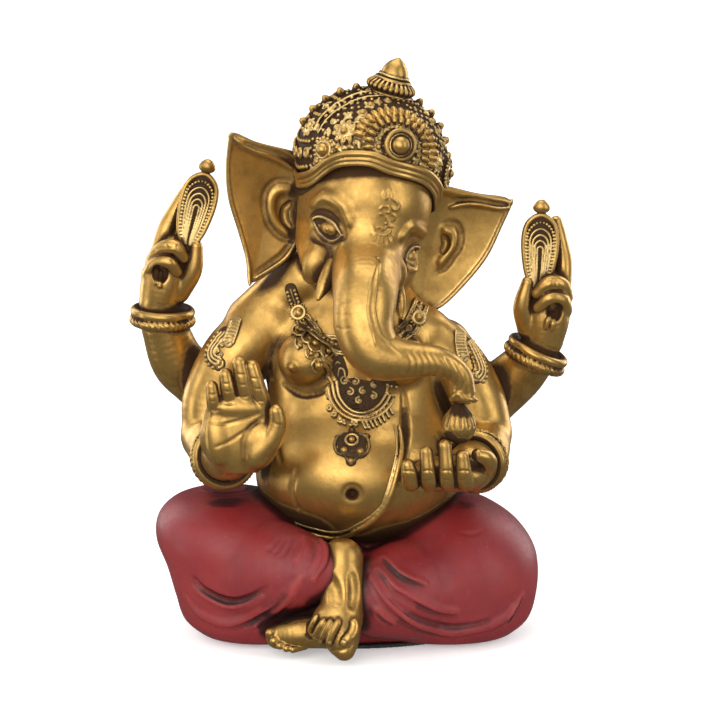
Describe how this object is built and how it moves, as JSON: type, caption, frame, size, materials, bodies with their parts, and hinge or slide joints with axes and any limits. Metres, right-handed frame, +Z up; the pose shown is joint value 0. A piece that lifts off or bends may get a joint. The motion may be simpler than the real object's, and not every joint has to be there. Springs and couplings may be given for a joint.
{
  "type": "ganesha idol",
  "caption": "Seated elephant-headed deity figurine with four arms, tall ornate crown and red dhoti, cast and painted, standing on a flat felt base.",
  "frame": {"origin": "middle of the object's outline on the surface it stands on", "axes": "+Z up through the crown, the figure faces -Y, its own right hand side is at -X"},
  "size_m": [0.1556, 0.1034, 0.1995],
  "materials": {
    "gold_body": "antique gold metallic paint over cast resin, brown wash in the hollows",
    "gold_ornament": "antique gold paint over relief, nearly black wash in the ground",
    "red_dhoti": "satin deep red paint, darker in the folds",
    "felt": "thin dark felt"
  },
  "bodies": {
    "root": {"collar": "gold_ornament", "crown_back_rosette": "gold_ornament", "crown_beads": "gold_ornament", "crown_dome": "gold_ornament", "crown_finial": "gold_ornament", "crown_left_rosette": "gold_ornament", "crown_medallion": "gold_ornament", "crown_plate": "gold_ornament", "crown_right_rosette": "gold_ornament", "crown_rim": "gold_ornament", "felt_pad": "felt", "head": "gold_body", "left_armlet": "gold_ornament", "left_collar_rosette": "gold_ornament", "left_ear": "gold_body", "left_emblem": "gold_ornament", "left_foot": "gold_body", "left_front_bracelet": "gold_ornament", "left_front_forearm": "gold_body", "left_front_hand": "gold_body", "left_front_upper_arm": "gold_body", "left_leg": "red_dhoti", "left_rear_bracelet": "gold_ornament", "left_rear_forearm": "gold_body", "left_rear_hand": "gold_body", "left_rear_upper_arm": "gold_body", "left_tusk": "gold_body", "pendant": "gold_ornament", "pendant_chain": "gold_ornament", "right_armlet": "gold_ornament", "right_collar_rosette": "gold_ornament", "right_ear": "gold_body", "right_emblem": "gold_ornament", "right_foot": "gold_body", "right_front_bracelet": "gold_ornament", "right_front_forearm": "gold_body", "right_front_hand": "gold_body", "right_front_upper_arm": "gold_body", "right_leg": "red_dhoti", "right_rear_bracelet": "gold_ornament", "right_rear_forearm": "gold_body", "right_rear_hand": "gold_body", "right_rear_upper_arm": "gold_body", "right_tusk": "gold_body", "seat": "red_dhoti", "sweet": "gold_body", "torso": "gold_body", "trunk": "gold_body", "waist_sash": "gold_ornament"}
  },
  "joints": []
}
